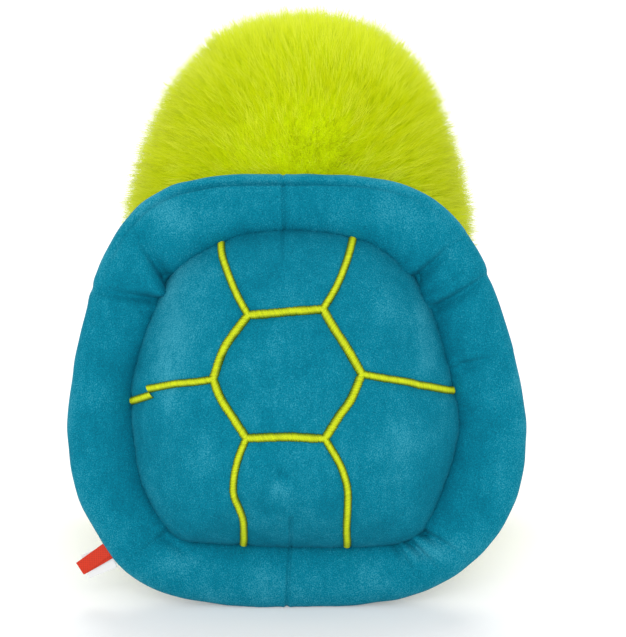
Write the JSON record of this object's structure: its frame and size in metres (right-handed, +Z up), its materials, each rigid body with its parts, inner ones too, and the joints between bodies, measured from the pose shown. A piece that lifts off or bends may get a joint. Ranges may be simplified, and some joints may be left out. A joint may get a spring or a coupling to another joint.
{
  "type": "plush turtle",
  "caption": "Sitting plush turtle: a domed shell with a puffed rim and hexagon embroidery, a long-pile head that turns and nods, stuffed limbs on sewn seams, and bare sewn-in labels.",
  "frame": {"origin": "on the floor under the middle of the toy's bounding box", "axes": "+Z up, -Y the way the toy looks, +X the toy's own left; the shell is on the +Y side"},
  "size_m": [0.253, 0.3052, 0.304],
  "materials": {
    "lime_fur": "lime-green long-pile plush, matt",
    "lime_plush": "lime-green short-pile plush, matt",
    "teal_plush": "teal short-pile plush with a soft sheen",
    "lime_thread": "lime satin-stitch embroidery",
    "dark_thread": "dark embroidery thread",
    "white_fibre": "white polyester fibre fill",
    "pouch_cloth": "off-white bag cloth round plastic pellets",
    "black_plastic": "black, glossy",
    "white_plastic": "white, moulded",
    "red_ribbon": "red woven ribbon, bare",
    "white_ribbon": "white woven ribbon, bare"
  },
  "bodies": {
    "torso": {"body_cover": "lime_fur", "body_stuffing": "white_fibre", "pellet_pouch": "pouch_cloth", "belly_panel": "lime_plush", "shell_rim_cover": "teal_plush", "shell_rim_stuffing": "white_fibre", "shell_dome_cover": "teal_plush", "shell_underside": "teal_plush", "shell_stuffing": "white_fibre", "embroidery_hexagon": "lime_thread", "embroidery_spoke_1": "lime_thread", "embroidery_spoke_2": "lime_thread", "embroidery_spoke_3": "lime_thread", "embroidery_spoke_4": "lime_thread", "embroidery_spoke_5": "lime_thread", "embroidery_spoke_6": "lime_thread"},
    "neck": {"neck_wad": "lime_fur"},
    "head": {"head_cover": "lime_fur", "head_stuffing": "white_fibre", "muzzle_cover": "lime_plush", "muzzle_stuffing": "white_fibre", "eye_left": "black_plastic", "eye_right": "black_plastic", "eye_washer_left": "white_plastic", "eye_washer_right": "white_plastic", "nostril_left": "dark_thread", "nostril_right": "dark_thread", "mouth_embroidery": "dark_thread"},
    "arm_left": {"arm_left_cover": "lime_fur", "arm_left_stuffing": "white_fibre"},
    "arm_right": {"arm_right_cover": "lime_fur", "arm_right_stuffing": "white_fibre"},
    "leg_left": {"leg_left_cover": "lime_fur", "leg_left_stuffing": "white_fibre"},
    "leg_right": {"leg_right_cover": "lime_fur", "leg_right_stuffing": "white_fibre"},
    "labels": {"brand_label": "red_ribbon", "care_label": "white_ribbon"}
  },
  "joints": [
    {"name": "head_turn", "type": "hinge", "parent": "torso", "child": "neck", "pos_m": [0, -0.01, 0.095], "axis": [0, 0, 1], "range_deg": [-25, 25], "stiffness_Nm_per_rad": 1.5},
    {"name": "head_nod", "type": "hinge", "parent": "neck", "child": "head", "pos_m": [0, -0.01, 0.095], "axis": [1, 0, 0], "range_deg": [-3, 10], "stiffness_Nm_per_rad": 1.5},
    {"name": "arm_left_swing", "type": "hinge", "parent": "torso", "child": "arm_left", "pos_m": [0.07755, -0.04312, 0.07957], "axis": [-0.5, -0.866, 0], "range_deg": [-15, 30], "stiffness_Nm_per_rad": 0.1},
    {"name": "arm_right_swing", "type": "hinge", "parent": "torso", "child": "arm_right", "pos_m": [-0.07755, -0.04312, 0.07957], "axis": [-0.5, 0.866, 0], "range_deg": [-15, 30], "stiffness_Nm_per_rad": 0.1},
    {"name": "leg_left_lift", "type": "hinge", "parent": "torso", "child": "leg_left", "pos_m": [0.04872, -0.08386, 0.02712], "axis": [-0.866, -0.5, 0], "range_deg": [0, 25], "stiffness_Nm_per_rad": 0.2},
    {"name": "leg_right_lift", "type": "hinge", "parent": "torso", "child": "leg_right", "pos_m": [-0.04872, -0.08386, 0.02712], "axis": [-0.866, 0.5, 0], "range_deg": [0, 25], "stiffness_Nm_per_rad": 0.2},
    {"name": "label_flap", "type": "hinge", "parent": "torso", "child": "labels", "pos_m": [0.10485, 0.10765, 0.03085], "axis": [0.5736, -0.0998, 0.813], "range_deg": [-40, 40], "stiffness_Nm_per_rad": 0.0002}
  ]
}
